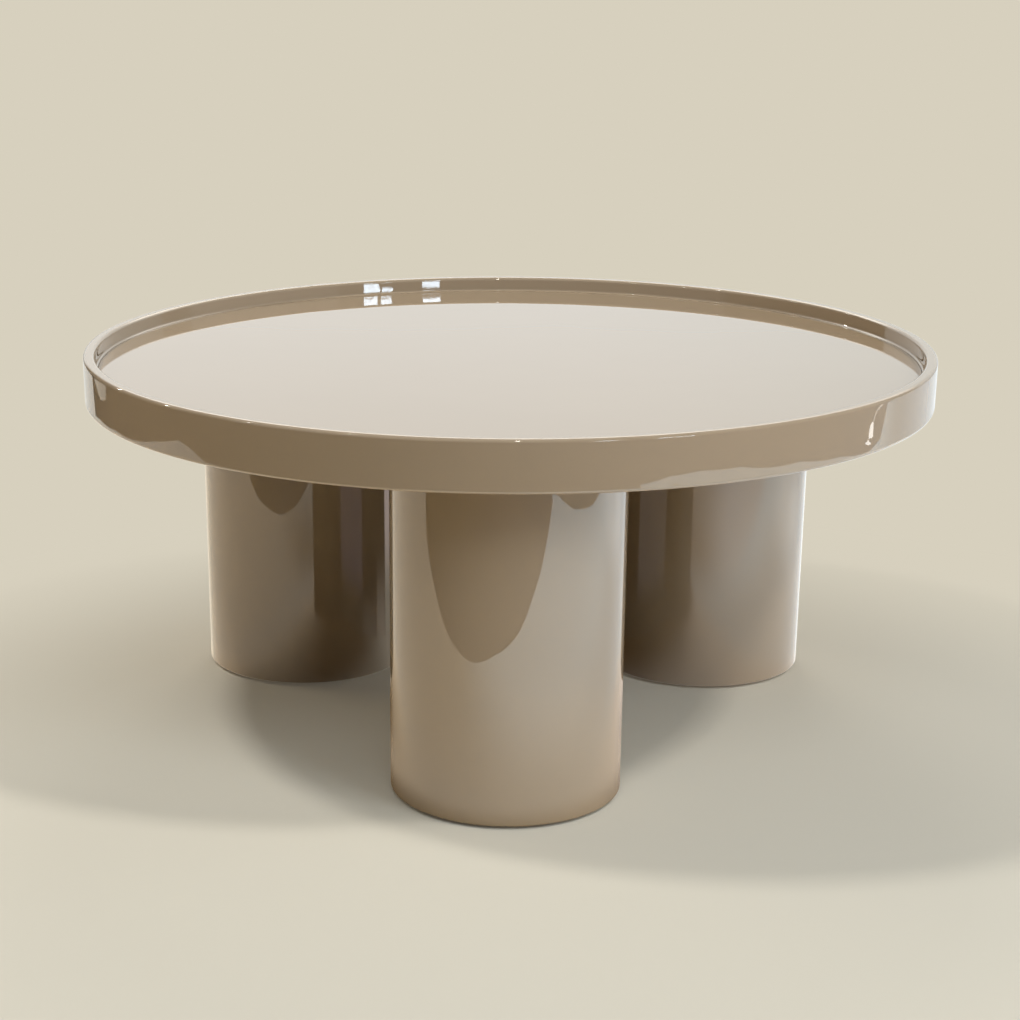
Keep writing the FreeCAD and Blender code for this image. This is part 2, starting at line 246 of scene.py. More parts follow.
hoop_low, hoop_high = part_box("rim_hoop")
hoop_radius = hoop_high.x
hoop_bore = hoop_radius - RIM_WALL
rim_hoop = turned("rim_hoop_lacquered", eased_outline([
    (hoop_radius, hoop_low.z, RIM_ARRIS),
    (hoop_radius, hoop_high.z, RIM_ARRIS),
    (hoop_bore, hoop_high.z, RIM_ARRIS),
    (hoop_bore, floor_height, COVE),
    (hoop_bore - TOE_REACH, floor_height, HIDDEN_EDGE),
    (hoop_bore - TOE_REACH, floor_height - REBATE_DEPTH, HIDDEN_EDGE),
    (hoop_bore, floor_height - REBATE_DEPTH, HIDDEN_EDGE),
    (hoop_bore, hoop_low.z, HIDDEN_EDGE),
]), (0, 0), ROUND_COUNT)
set_in(rim_hoop, lacquer, "taupe_lacquer", "rim_hoop")


# Under panel: a second fibreboard disc glued below the tray floor, flush with the hoop.
# It gets one thin sealing coat in the lacquer's colour, so it stays dull and slightly rough.

SEAL_TONE = (0.225, 0.168, 0.108)
SEAL_TONE_DRY = (0.180, 0.132, 0.083)
SEAL_CLOUD = 0.06
OVERSPRAY = 0.02
OVERSPRAY_ROUGHNESS = (0.42, 0.60)
FIBRE = 0.0012
FIBRE_LIFT = 0.00005


def sealed_coat():
    """Dull sealing coat: taupe with cloudy absorption, fine fibre lift and dry overspray."""
    material, tree, shader, place = new_finish("sealed_underside")
    cloud = mottle(tree, place, SEAL_CLOUD, detail=4.0)
    tree.links.new(two_tones(tree, cloud, SEAL_TONE, SEAL_TONE_DRY), shader.inputs["Base Color"])
    overspray = mottle(tree, place, OVERSPRAY, detail=3.0, spread=OVERSPRAY_ROUGHNESS)
    tree.links.new(overspray, shader.inputs["Roughness"])
    fibre = relief(tree, mottle(tree, place, FIBRE, detail=3.0), FIBRE_LIFT)
    tree.links.new(fibre, shader.inputs["Normal"])
    return material


nodes["under_panel"].data.materials.clear()
nodes["under_panel"].data.materials.append(sealed_coat())


# Leg drums: three tubes of bent layers, sprayed and polished outside like the hoop.
# They stand with their open foot down and are glued round a block above and a ring below.

DRUM_WALL = 0.010
DRUM_FOOT_ARRIS = 0.0015
LEGS = ("front", "rear_right", "rear_left")
DRUM_COUNT = 256

for leg in LEGS:
    drum_low, drum_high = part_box(f"leg_drum_{leg}")
    axis = ((drum_low.x + drum_high.x) / 2, (drum_low.y + drum_high.y) / 2)
    drum_radius = (drum_high.x - drum_low.x) / 2
    drum = turned(f"leg_drum_{leg}_lacquered", eased_outline([
        (drum_radius, drum_low.z, DRUM_FOOT_ARRIS),
        (drum_radius, drum_high.z, HIDDEN_EDGE),
        (drum_radius - DRUM_WALL, drum_high.z, HIDDEN_EDGE),
        (drum_radius - DRUM_WALL, drum_low.z, HIDDEN_EDGE),
    ]), axis, DRUM_COUNT)
    set_in(drum, lacquer, "taupe_lacquer", f"leg_drum_{leg}")


# Top blocks and base rings: birch plywood, cut round, glued into the drum's top and foot.
# Their faces show straight birch grain, and their edges the stacked plies.

GRAIN = 0.05
GRAIN_STRETCH = (1.0, 14.0, 14.0)
GRAIN_DEPTH = 0.00008
FACE_LIGHT = (0.62, 0.46, 0.29)
FACE_DARK = (0.50, 0.35, 0.20)
PLY = 0.0028
WAVE_PERIOD = 0.314
PLY_WANDER = 0.4
PLY_WANDER_SCALE = 60.0
PLY_LIGHT = (0.56, 0.40, 0.24)
PLY_DARK = (0.33, 0.21, 0.11)
SANDING = 0.01
SANDED_ROUGHNESS = (0.5, 0.7)


def birch_plywood():
    """Plywood: pale birch grain along X on the faces, thin light and dark plies across Z.

    The upright part of the surface's normal, without its sign, chooses the face over the edge.
    """
    material, tree, shader, place = new_finish("birch_plywood")
    along = add_node(tree, "ShaderNodeMapping", {"Vector": place}, Scale=GRAIN_STRETCH)
    grain = mottle(tree, along.outputs["Vector"], GRAIN, detail=5.0)
    face = two_tones(tree, grain, FACE_LIGHT, FACE_DARK)
    plies = add_node(
        tree, "ShaderNodeTexWave", {"Vector": place}, bands_direction="Z", wave_profile="SAW",
        Scale=WAVE_PERIOD / PLY, Distortion=PLY_WANDER, **{"Detail Scale": PLY_WANDER_SCALE},
    )
    edge = two_tones(tree, plies.outputs["Fac"], PLY_LIGHT, PLY_DARK)
    normal = add_node(tree, "ShaderNodeNewGeometry").outputs["Normal"]
    upright = add_node(tree, "ShaderNodeSeparateXYZ", {"Vector": normal}).outputs["Z"]
    faceness = add_node(tree, "ShaderNodeMath", operation="ABSOLUTE")
    tree.links.new(upright, faceness.inputs[0])
    choose = add_node(tree, "ShaderNodeMix", data_type="RGBA")
    tree.links.new(faceness.outputs[0], choose.inputs["Factor"])
    tree.links.new(edge, choose.inputs["A"])
    tree.links.new(face, choose.inputs["B"])
    tree.links.new(choose.outputs["Result"], shader.inputs["Base Color"])
    sanding = mottle(tree, place, SANDING, detail=2.0, spread=SANDED_ROUGHNESS)
    tree.links.new(sanding, shader.inputs["Roughness"])
    tree.links.new(relief(tree, grain, GRAIN_DEPTH), shader.inputs["Normal"])
    return material


plywood = birch_plywood()
for leg in LEGS:
    for node in (nodes[f"leg_top_block_{leg}"], nodes[f"leg_base_ring_{leg}"]):
        node.data.materials.clear()
        node.data.materials.append(plywood)


# Bolts, washers, inserts and glide nails: steel, black on the bolts and zinc-plated on the rest.
# Three bolts hold each leg, head down through its block into inserts sunk in the under panel.

CRYSTAL = 0.002
GLOSS_PATCH = 0.004
GLOSS_SPREAD = 0.08
PIT = 0.0008
PIT_DEPTH = 0.000004
BLACK_TONES = ((0.030, 0.030, 0.032), (0.055, 0.053, 0.052))
BLACK_ROUGHNESS = 0.38
ZINC_TONES = ((0.62, 0.63, 0.64), (0.50, 0.51, 0.53))
ZINC_ROUGHNESS = 0.30


def plated_steel(name, tones, roughness):
    """Plated steel: metal of two close tones in small crystals, with uneven gloss."""
    material, tree, shader, place = new_finish(name)
    crystals = mottle(tree, place, CRYSTAL, detail=3.0)
    tree.links.new(two_tones(tree, crystals, *tones), shader.inputs["Base Color"])
    spread = (roughness - GLOSS_SPREAD, roughness + GLOSS_SPREAD)
    gloss = mottle(tree, place, GLOSS_PATCH, detail=3.0, spread=spread)
    tree.links.new(gloss, shader.inputs["Roughness"])
    pits = relief(tree, mottle(tree, place, PIT, detail=2.0), PIT_DEPTH)
    tree.links.new(pits, shader.inputs["Normal"])
    shader.inputs["Metallic"].default_value = 1.0
    return material


black_steel = plated_steel("black_steel", BLACK_TONES, BLACK_ROUGHNESS)
zinc_steel = plated_steel("zinc_steel", ZINC_TONES, ZINC_ROUGHNESS)
for leg in LEGS:
    steel = {
        f"leg_bolts_{leg}": black_steel,
        f"leg_flat_washers_{leg}": zinc_steel,
        f"leg_spring_washers_{leg}": zinc_steel,
        f"leg_inserts_{leg}": zinc_steel,
        f"glide_nails_{leg}": zinc_steel,
    }
    for name, finish in steel.items():
        nodes[name].data.materials.clear()
        nodes[name].data.materials.append(finish)


# Glides: moulded nylon discs nailed under each base ring. They lift the drums a little off the
# floor, which shows as a thin dark line round each foot.

NYLON_TONE = (0.66, 0.64, 0.58)
NYLON_TONE_DULL = (0.58, 0.55, 0.49)
NYLON_CLOUD = 0.008
NYLON_PATCH = 0.003
NYLON_ROUGHNESS = (0.34, 0.52)
MOULD_GRAIN = 0.0006
MOULD_DEPTH = 0.00001


def moulded_nylon():
    """Moulded nylon: warm off-white with faint clouds, satin, with a fine mould texture."""
    material, tree, shader, place = new_finish("glide_nylon")
    cloud = mottle(tree, place, NYLON_CLOUD, detail=3.0)
    tree.links.new(two_tones(tree, cloud, NYLON_TONE, NYLON_TONE_DULL), shader.inputs["Base Color"])
    satin = mottle(tree, place, NYLON_PATCH, detail=3.0, spread=NYLON_ROUGHNESS)
    tree.links.new(satin, shader.inputs["Roughness"])
    texture = relief(tree, mottle(tree, place, MOULD_GRAIN, detail=2.0), MOULD_DEPTH)
    tree.links.new(texture, shader.inputs["Normal"])
    return material


nylon = moulded_nylon()
for leg in LEGS:
    nodes[f"leg_glides_{leg}"].data.materials.clear()
    nodes[f"leg_glides_{leg}"].data.materials.append(nylon)


# Studio floor: a wide pale sheet that runs to the horizon without a seam and keeps the table's
# shadow. In the lacquer it is a glow, a painted reflection of the room's dim floor, lighter to the right.

FLOOR_HALF = 60.0
FLOOR_DROP = 0.0003
PALE = (0.680, 0.631, 0.515)
FLOOR_TONE = (0.556, 0.519, 0.428)
# Bounced light: painted shade under the table, the open floor's tone beyond.
BOUNCE_PAINTED_SHADE = (0.22, 0.16, 0.08)
BOUNCE_OPEN = (0.76, 0.66, 0.48)
EVEN_SHARE = 0.08
TABLE_AXIS = (0, 0, 0)
UNDER_TO_OPEN = (0.22, 0.42)
FADE_MIDDLE = (0.05, -0.30, 0)
NEAR_TO_FAR = (0.5, 1.1)
ROOM_DIM = (0.03, 0.03, 0.03)
ROOM_LIT = (0.60, 0.62, 0.68)
ROOM_LEFT_TO_RIGHT = (-1.6, 1.9)


def sheet(name, outline):
    """Flat stage sheet with the given corners."""
    mesh = bpy.data.meshes.new(name)
    mesh.from_pydata(outline, [], [tuple(range(len(outline)))])
    piece = bpy.data.objects.new(name, mesh)
    bpy.context.scene.collection.objects.link(piece)
    piece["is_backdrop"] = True
    return piece


def ramp(tree, value, start, end):
    """Smooth share that runs from 0 at start to 1 at end."""
    node = add_node(
        tree, "ShaderNodeMapRange", {"Value": value}, interpolation_type="SMOOTHSTEP",
        **{"From Min": start, "From Max": end},
    )
    return node.outputs["Result"]


def mix_shaders(tree, share, first, second):
    """Shader that runs from the first to the second with the share."""
    node = add_node(tree, "ShaderNodeMixShader")
    for socket, output in zip(node.inputs, (share, first, second)):
        tree.links.new(output, socket)
    return node.outputs[0]


def stage_finish(name):
    """Empty stage material with its tree and the object coordinates of the sheet."""
    material = bpy.data.materials.new(name)
    material.use_nodes = True
    tree = material.node_tree
    tree.nodes.clear()
    return material, tree, add_node(tree, "ShaderNodeTexCoord").outputs["Object"]


def axes(tree, place):
    """The place's separate X, Y and Z."""
    return add_node(tree, "ShaderNodeSeparateXYZ", {"Vector": place}).outputs


def away_from(tree, place, middle):
    """Distance of the place from a fixed middle."""
    node = add_node(tree, "ShaderNodeVectorMath", {"Vector": place}, operation="DISTANCE")
    node.inputs[1].default_value = middle
    return node.outputs["Value"]


def studio_floor():
    """Pale floor: lit and shadowed near the table, an even colour far off, clear from below.

    Only camera rays see it so. Mirrored rays see a glow, a painted reflection of the dim room, and
    other rays get its bounced light, with painted shade under the table.
    """
    material, tree, place = stage_finish("studio_floor")
    lit = add_node(tree, "ShaderNodeBsdfDiffuse", Color=(*FLOOR_TONE, 1)).outputs[0]
    even = add_node(tree, "ShaderNodeEmission", Color=(*PALE, 1)).outputs[0]
    rightward = ramp(tree, axes(tree, place)["X"], *ROOM_LEFT_TO_RIGHT)
    room_tone = two_tones(tree, rightward, ROOM_DIM, ROOM_LIT)
    room = add_node(tree, "ShaderNodeEmission", {"Color": room_tone}).outputs[0]
    # Painted shade: the bounced light is darker under the table.
    opening = ramp(tree, away_from(tree, place, TABLE_AXIS), *UNDER_TO_OPEN)
    bounce_tone = two_tones(tree, opening, BOUNCE_PAINTED_SHADE, BOUNCE_OPEN)
    bounce = add_node(tree, "ShaderNodeBsdfDiffuse", {"Color": bounce_tone}).outputs[0]
    far = add_node(tree, "ShaderNodeMath", operation="MAXIMUM")
    fade = ramp(tree, away_from(tree, place, FADE_MIDDLE), *NEAR_TO_FAR)
    tree.links.new(fade, far.inputs[0])
    far.inputs[1].default_value = EVEN_SHARE
    seen = mix_shaders(tree, far.outputs[0], lit, even)
    path = add_node(tree, "ShaderNodeLightPath").outputs
    unseen = mix_shaders(tree, path["Is Glossy Ray"], bounce, room)
    shown = mix_shaders(tree, path["Is Camera Ray"], unseen, seen)
    clear = add_node(tree, "ShaderNodeBsdfTransparent").outputs[0]
    back = add_node(tree, "ShaderNodeNewGeometry").outputs["Backfacing"]
    add_node(tree, "ShaderNodeOutputMaterial", {"Surface": mix_shaders(tree, back, shown, clear)})
    return material


studio = sheet("studio_floor", [
    (-FLOOR_HALF, -FLOOR_HALF, -FLOOR_DROP),
    (FLOOR_HALF, -FLOOR_HALF, -FLOOR_DROP),
    (FLOOR_HALF, FLOOR_HALF, -FLOOR_DROP),
    (-FLOOR_HALF, FLOOR_HALF, -FLOOR_DROP),
])
studio.data.materials.append(studio_floor())


# White paper: a wide loose sheet that lies under and behind the table, cut unevenly all round.
# Only the lacquer mirrors it, as a painted reflection of lit floor: inside the dark arch on the front
# leg is the floor past its edge.

PAPER_DROP = FLOOR_DROP / 2
PAPER_LEFT = (1.22, 1.08, 0.86)
PAPER_RIGHT = (1.48, 1.58, 1.62)
# Painted warm bounce light under the top's edge.
PAPER_WARM_LEFT = (1.38, 1.12, 0.78)
PAPER_WARM_RIGHT = (1.70, 1.53, 1.40)
PAPER_FAR_LEFT = (0.92, 0.92, 0.86)
PAPER_FAR_RIGHT = (1.10, 1.18, 1.22)
PAPER_GLOW = (0.75, 0.95, 1.05)
PAPER_SHADE = (0.14, 0.08, 0.03)
PAPER_SHADE_RIGHT = (1.15, 1.00, 0.88)
PAPER_SUN = (0.80, 0.82, 0.80)
WARM_TO_COOL = (-0.5, 0.8)
SHADE_TO_LIGHT = (0.05, 0.30)
NEAR_TO_FAR_PAPER = (1.1, 1.7)
WINDOW_SIDE = (0.6, -1.0, 0)
BACK_TO_FRONT = (0.4, 0.9)
SUN_PATCH = (1.10, 0.25, 0)
SUN_EDGE_TO_MIDDLE = (0.45, 0.10)
SHADE_TO_WARM = (0.16, 0.42)
WARM_TO_OPEN = (0.30, 0.43)
FRONT_FOOT = (0, -0.271, 0)
FOOT_TO_CLEAR = (0.11, 0.18)
PAPER_EDGE = [
    (-1.62, -0.64), (-1.29, -0.44), (-1.10, -0.44), (-0.95, -0.50), (-0.78, -0.58), (-0.60, -0.65),
    (-0.45, -0.72), (-0.30, -0.79), (-0.20, -0.85), (-0.12, -0.895), (0.00, -0.94), (0.14, -0.99),
    (0.31, -1.07), (0.48, -1.13), (0.70, -1.23), (0.86, -1.31), (0.89, -1.61), (1.11, -1.52),
    (1.30, -1.38), (1.52, -1.12), (1.75, -0.62), (1.81, -0.20), (1.79, 0.17), (1.83, 0.34),
    (2.08, 0.56), (2.60, 1.00), (4.50, 1.60), (4.50, 9.00), (-4.50, 9.00), (-2.20, 2.60),
    (-1.52, 1.49), (-1.36, 1.16), (-1.45, 1.05), (-1.64, 0.72), (-1.76, 0.35), (-1.84, 0.12),
    (-1.90, -0.18), (-1.84, -0.33),
]


def add_shaders(tree, first, second):
    """Sum of two shaders."""
    node = add_node(tree, "ShaderNodeAddShader")
    for socket, output in zip(node.inputs, (first, second)):
        tree.links.new(output, socket)
    return node.outputs[0]


def white_paper():
    """White paper: a glow that changes with the distance from the table and from left to right.

    It has painted shade in the table's middle and round the front foot, painted warm bounce light
    under the top's edge, and is open beyond, where it runs from warm to cool, dims far off, and has
    painted light in front and a painted patch of sun. The whole glow is a painted reflection of lit
    floor.
    """
    material, tree, place = stage_finish("white_paper")
    away = away_from(tree, place, TABLE_AXIS)
    rightward = ramp(tree, axes(tree, place)["X"], *WARM_TO_COOL)
    near_tone = two_tones(tree, rightward, PAPER_LEFT, PAPER_RIGHT)
    far_tone = two_tones(tree, rightward, PAPER_FAR_LEFT, PAPER_FAR_RIGHT)
    near = add_node(tree, "ShaderNodeEmission", {"Color": near_tone}).outputs[0]
    far = add_node(tree, "ShaderNodeEmission", {"Color": far_tone}).outputs[0]
    shade_share = ramp(tree, axes(tree, place)["X"], *SHADE_TO_LIGHT)
    shade_tone = two_tones(tree, shade_share, PAPER_SHADE, PAPER_SHADE_RIGHT)
    shade = add_node(tree, "ShaderNodeEmission", {"Color": shade_tone}).outputs[0]
    forward = add_node(tree, "ShaderNodeVectorMath", {"Vector": place}, operation="DOT_PRODUCT")
    forward.inputs[1].default_value = WINDOW_SIDE
    front = ramp(tree, forward.outputs["Value"], *BACK_TO_FRONT)
    glow = add_node(tree, "ShaderNodeEmission", {"Strength": front}, Color=(*PAPER_GLOW, 1)).outputs[0]
    plain_paper = mix_shaders(tree, ramp(tree, away, *NEAR_TO_FAR_PAPER), near, far)
    open_paper = add_shaders(tree, plain_paper, glow)
    patch = ramp(tree, away_from(tree, place, SUN_PATCH), *SUN_EDGE_TO_MIDDLE)
    sun = add_node(tree, "ShaderNodeEmission", {"Strength": patch}, Color=(*PAPER_SUN, 1)).outputs[0]
    sunny_paper = add_shaders(tree, open_paper, sun)
    warm_tone = two_tones(tree, rightward, PAPER_WARM_LEFT, PAPER_WARM_RIGHT)
    warm = add_node(tree, "ShaderNodeEmission", {"Color": warm_tone}).outputs[0]
    under_top = mix_shaders(tree, ramp(tree, away, *SHADE_TO_WARM), shade, warm)
    lit = mix_shaders(tree, ramp(tree, away, *WARM_TO_OPEN), under_top, sunny_paper)
    clear_of_leg = ramp(tree, away_from(tree, place, FRONT_FOOT), *FOOT_TO_CLEAR)
    add_node(tree, "ShaderNodeOutputMaterial", {"Surface": mix_shaders(tree, clear_of_leg, shade, lit)})
    return material


def mirrored_only(piece):
    """Let a stage piece show in reflections alone, without lighting or shading anything."""
    piece.visible_camera = False
    piece.visible_diffuse = False
    piece.visible_shadow = False
    piece.visible_transmission = False
    return piece


paper = mirrored_only(sheet("white_paper", [(x, y, -PAPER_DROP) for x, y in PAPER_EDGE]))
paper.data.materials.append(white_paper())


# White wall: a glowing sheet that stands plain behind the table, above the picture's upper edge.
# The whole tray floor mirrors its even lower part as a painted reflection, and the rim's arrises its
# bright upper part as painted highlights.

WALL_DISTANCE = 2.7
WALL_LEFT = -1.8
WALL_RIGHT = 3.6
WALL_FOOT = 0.50
WALL_TOP = 7.00
WALL_GLOSS = (1.17, 1.22, 1.22)
WALL_GLOSS_RIGHT = (1.06, 1.13, 1.13)
WALL_ABOVE = (5.0, 4.9, 4.6)
WALL_ABOVE_RIGHT = (2.50, 2.42, 2.26)
WALL_CREST = (0.50, 0.49, 0.47)
WALL_LEFT_TO_RIGHT = (0.2, 1.1)
ABOVE_LEFT_TO_RIGHT = (0.2, 2.0)
LOW_TO_ABOVE = (1.4, 2.1)
ABOVE_TO_CREST = (3.0, WALL_TOP)


def wall_glow():
    """White wall glow, a painted reflection: even below, bright above and dim again towards its crest,
    duller to the right.
    """
    material, tree, place = stage_finish("white_wall")
    sideways = axes(tree, place)["X"]
    height = axes(tree, place)["Z"]
    low_tone = two_tones(tree, ramp(tree, sideways, *WALL_LEFT_TO_RIGHT), WALL_GLOSS, WALL_GLOSS_RIGHT)
    low = add_node(tree, "ShaderNodeEmission", {"Color": low_tone}).outputs[0]
    above_tone = two_tones(tree, ramp(tree, sideways, *ABOVE_LEFT_TO_RIGHT), WALL_ABOVE, WALL_ABOVE_RIGHT)
    above = add_node(tree, "ShaderNodeEmission", {"Color": above_tone}).outputs[0]
    crest = add_node(tree, "ShaderNodeEmission", Color=(*WALL_CREST, 1)).outputs[0]
    lit = mix_shaders(tree, ramp(tree, height, *LOW_TO_ABOVE), low, above)
    glow = mix_shaders(tree, ramp(tree, height, *ABOVE_TO_CREST), lit, crest)
    add_node(tree, "ShaderNodeOutputMaterial", {"Surface": glow})
    return material


wall = mirrored_only(sheet("white_wall", [
    (WALL_LEFT, WALL_DISTANCE, WALL_FOOT),
    (WALL_RIGHT, WALL_DISTANCE, WALL_FOOT),
    (WALL_RIGHT, WALL_DISTANCE, WALL_TOP),
    (WALL_LEFT, WALL_DISTANCE, WALL_TOP),
]))
wall.data.materials.append(wall_glow())


# Painted reflections on the floor: a pale patch at the left behind the table, painted sunlight as a bar
# with a spot and a thin tail at the right, and a dimmer patch in front. Only the lacquer mirrors them.

PATCH_DROP = FLOOR_DROP / 4
SUN = (1.0, 0.99, 0.96)
SUN_STRENGTH = 5.5
TAIL_STRENGTH = 2.4
FLOOR_PATCHES = {
    # A pale patch in the reflection, at the left behind the table.
    "pale_reflection_patch": ((0.70, 0.66, 0.58), 1.0, [
        (-1.56, 1.43), (-1.71, 1.27), (-1.82, 1.12), (-1.70, 1.04), (-1.59, 1.14), (-1.58, 1.25),
    ]),
    "sun_bar": (SUN, SUN_STRENGTH, [
        (1.994, 0.253), (1.986, 0.270), (1.933, 0.257), (1.882, 0.238), (1.878, 0.220),
        (1.883, 0.175), (1.929, 0.189), (1.974, 0.218),
    ]),
    "sun_spot": (SUN, SUN_STRENGTH, [
        (1.881, 0.160), (1.875, 0.175), (1.859, 0.178), (1.843, 0.201), (1.834, 0.192),
        (1.838, 0.159), (1.854, 0.127), (1.867, 0.127), (1.866, 0.150),
    ]),
    "sun_tail": ((1.0, 0.97, 0.92), TAIL_STRENGTH, [
        (1.992, 0.269), (2.025, 0.288), (2.065, 0.339), (2.086, 0.405), (2.095, 0.501),
        (2.082, 0.517), (2.068, 0.422), (2.054, 0.352), (2.018, 0.302), (1.987, 0.277),
    ]),
    # A dimmer patch in the reflection, in front.
    "dim_reflection_patch": ((0.80, 0.78, 0.73), 1.0, [
        (0.91, -1.33), (1.10, -1.47), (1.29, -1.12), (1.41, -0.86), (1.50, -0.56), (1.58, -0.18),
        (1.35, -0.19), (1.31, -0.32), (1.27, -0.43), (1.24, -0.56), (1.20, -0.69), (1.16, -0.80),
        (1.11, -0.92), (1.07, -1.03), (1.03, -1.12), (0.99, -1.21),
    ]),
}


def glowing(name, colour, strength):
    """Even glow of a colour."""
    material, tree, _ = stage_finish(name)
    glow = add_node(tree, "ShaderNodeEmission", Color=(*colour, 1), Strength=strength)
    add_node(tree, "ShaderNodeOutputMaterial", {"Surface": glow.outputs[0]})
    return material


for name, (colour, strength, outline) in FLOOR_PATCHES.items():
    floor_patch = mirrored_only(sheet(name, [(x, y, -PATCH_DROP) for x, y in outline]))
    floor_patch.data.materials.append(glowing(name, colour, strength))


# Painted reflections: dark and light glowing cards upright between the legs, a black sheet behind the
# front leg, tinted veils beside it, and glowing curtains far off at the sides. Only the lacquer mirrors
# them, and they draw the stripes of the rear legs: the dark cards, black sheet and veils paint shade,
# the light cards paint lit floor. A card: x, front, back, low tone, high tone, fade from, to.

CARD_TOP = 0.26
CARDS = {
    "left_gap": (-0.005, -0.163, -0.009, (0.10, 0.08, 0.05), (0.23, 0.21, 0.29), 0.03, 0.09),
    "left_shade_sheet": (-0.005, -0.009, 0.065, (0.35, 0.30, 0.24), (0, 0, 0), 0.00, 0.07),
    "left_shade_sheet_edge": (-0.005, 0.065, 0.108, (0.80, 0.68, 0.55), (0, 0, 0), 0.01, 0.12),
    "left_lit_floor_sheet": (-0.005, 0.110, 0.270, (1.00, 0.92, 0.74), (2.05, 1.72, 1.63), 0.04, 0.16),
    "right_shade_sheet_front": (0.005, -0.160, -0.130, (0.10, 0.08, 0.05), (0, 0, 0), 0.03, 0.09),
    "right_gap": (0.005, -0.130, 0.030, (0.10, 0.08, 0.05), (0.30, 0.28, 0.29), 0.03, 0.09),
    "right_shade_sheet": (0.005, 0.030, 0.270, (0.10, 0.08, 0.05), (0, 0, 0), 0.03, 0.09),
}


def fading(name, axis, start, end, first, second):
    """Glow whose colour runs along an axis, from the first tone at start to the second at end."""
    material, tree, place = stage_finish(name)
    tone = two_tones(tree, ramp(tree, axes(tree, place)[axis], start, end), first, second)
    glow = add_node(tree, "ShaderNodeEmission", {"Color": tone})
    add_node(tree, "ShaderNodeOutputMaterial", {"Surface": glow.outputs[0]})
    return material


for name, (x, front, back, low_tone, high_tone, fade_start, fade_end) in CARDS.items():
    card = mirrored_only(sheet(name, [
        (x, front, 0), (x, back, 0), (x, back, CARD_TOP), (x, front, CARD_TOP),
    ]))
    card.data.materials.append(fading(name, "Z", fade_start, fade_end, low_tone, high_tone))


def black_shade_sheet():
    """Painted shade: a sheet that is black on its face and clear from the back."""
    material, tree, _ = stage_finish("black_shade_sheet")
    black = add_node(tree, "ShaderNodeEmission", Color=(0, 0, 0, 1)).outputs[0]
    clear = add_node(tree, "ShaderNodeBsdfTransparent").outputs[0]
    back = add_node(tree, "ShaderNodeNewGeometry").outputs["Backfacing"]
    add_node(tree, "ShaderNodeOutputMaterial", {"Surface": mix_shaders(tree, back, black, clear)})
    return material


# A black sheet behind the front leg paints shade in the reflections.
SHADE_SHEET_NEAR = (-0.031, -0.132)
SHADE_SHEET_FAR = (-0.156, -0.2565)
SHADE_SHEET_TOP = 0.32
leg_shade_sheet = mirrored_only(sheet("leg_shade_sheet", [
    (*SHADE_SHEET_NEAR, 0), (*SHADE_SHEET_FAR, 0), (*SHADE_SHEET_FAR, SHADE_SHEET_TOP), (*SHADE_SHEET_NEAR, SHADE_SHEET_TOP),
]))
leg_shade_sheet.data.materials.append(black_shade_sheet())

# Painted reflection of lit floor between the legs, with painted shade towards the front.
LIT_FLOOR_PATCH_EDGE = [(-0.20, -0.03), (-0.006, -0.03), (-0.006, 0.27), (-0.20, 0.27)]
LIT_FLOOR_PATCH_TONE = (1.0, 0.90, 0.72)
LIT_FLOOR_PATCH_FADE = (-0.02, 0.12)
lit_floor_patch = mirrored_only(sheet("lit_floor_patch", [(x, y, -PATCH_DROP) for x, y in LIT_FLOOR_PATCH_EDGE]))
lit_floor_patch.data.materials.append(
    fading("lit_floor_patch", "Y", *LIT_FLOOR_PATCH_FADE, PAPER_SHADE, LIT_FLOOR_PATCH_TONE)
)

CURTAINS = {
    "dark_curtain": (-5.0, -1.6, 8.0, 2.6, (0.03, 0.03, 0.02)),
    "white_curtain": (5.0, -3.6, 2.0, 2.0, (1.10, 1.08, 1.04)),
}
CURTAIN_FOOT = 0.8
for name, (x, front, back, top, colour) in CURTAINS.items():
    curtain = mirrored_only(sheet(name, [
        (x, front, CURTAIN_FOOT), (x, back, CURTAIN_FOOT), (x, back, top), (x, front, top),
    ]))
    curtain.data.materials.append(glowing(name, colour, 1.0))

# Tinted veils beside the front leg paint shade in the reflections.
VEIL_PLACE = -0.30
VEIL_TOP = 0.34
VEIL_FADE = 0.08
SHADE_VEILS = {
    "left_shade_veil": (-0.450, -0.110, -0.15, -0.45, (0.40, 0.38, 0.36), (1.00, 1.00, 1.00)),
    "right_shade_veil": (0.110, 1.400, 0.14, 0.42, (0.62, 0.50, 0.42), (1.00, 0.86, 0.80)),
}


def painted_shade_veil(name, near, far, near_tone, far_tone):
    """Painted shade: a tinted veil, dense beside the leg, thinner outwards and at its foot, clear from
    the front.
    """
    material, tree, place = stage_finish(name)
    tint = two_tones(tree, ramp(tree, axes(tree, place)["X"], near, far), near_tone, far_tone)
    dense = add_node(tree, "ShaderNodeBsdfTransparent", {"Color": tint}).outputs[0]
    clear = add_node(tree, "ShaderNodeBsdfTransparent").outputs[0]
    veil = mix_shaders(tree, ramp(tree, axes(tree, place)["Z"], 0, VEIL_FADE), clear, dense)
    back = add_node(tree, "ShaderNodeNewGeometry").outputs["Backfacing"]
    add_node(tree, "ShaderNodeOutputMaterial", {"Surface": mix_shaders(tree, back, clear, veil)})
    return material


for name, (left, right, near, far, near_tone, far_tone) in SHADE_VEILS.items():
    veil_sheet = mirrored_only(sheet(name, [
        (left, VEIL_PLACE, 0), (right, VEIL_PLACE, 0),
        (right, VEIL_PLACE, VEIL_TOP), (left, VEIL_PLACE, VEIL_TOP),
    ]))
    veil_sheet.data.materials.append(painted_shade_veil(name, near, far, near_tone, far_tone))


# Windows and strip lamps of the room: panes to the right in front, over and under a dark transom,
# and short narrow lamps all round. The rim's far wall mirrors the panes, and its arrises show the
# lamps as small glints. Panes: corners in degrees and height. Lamps: degrees, low, high, strength.

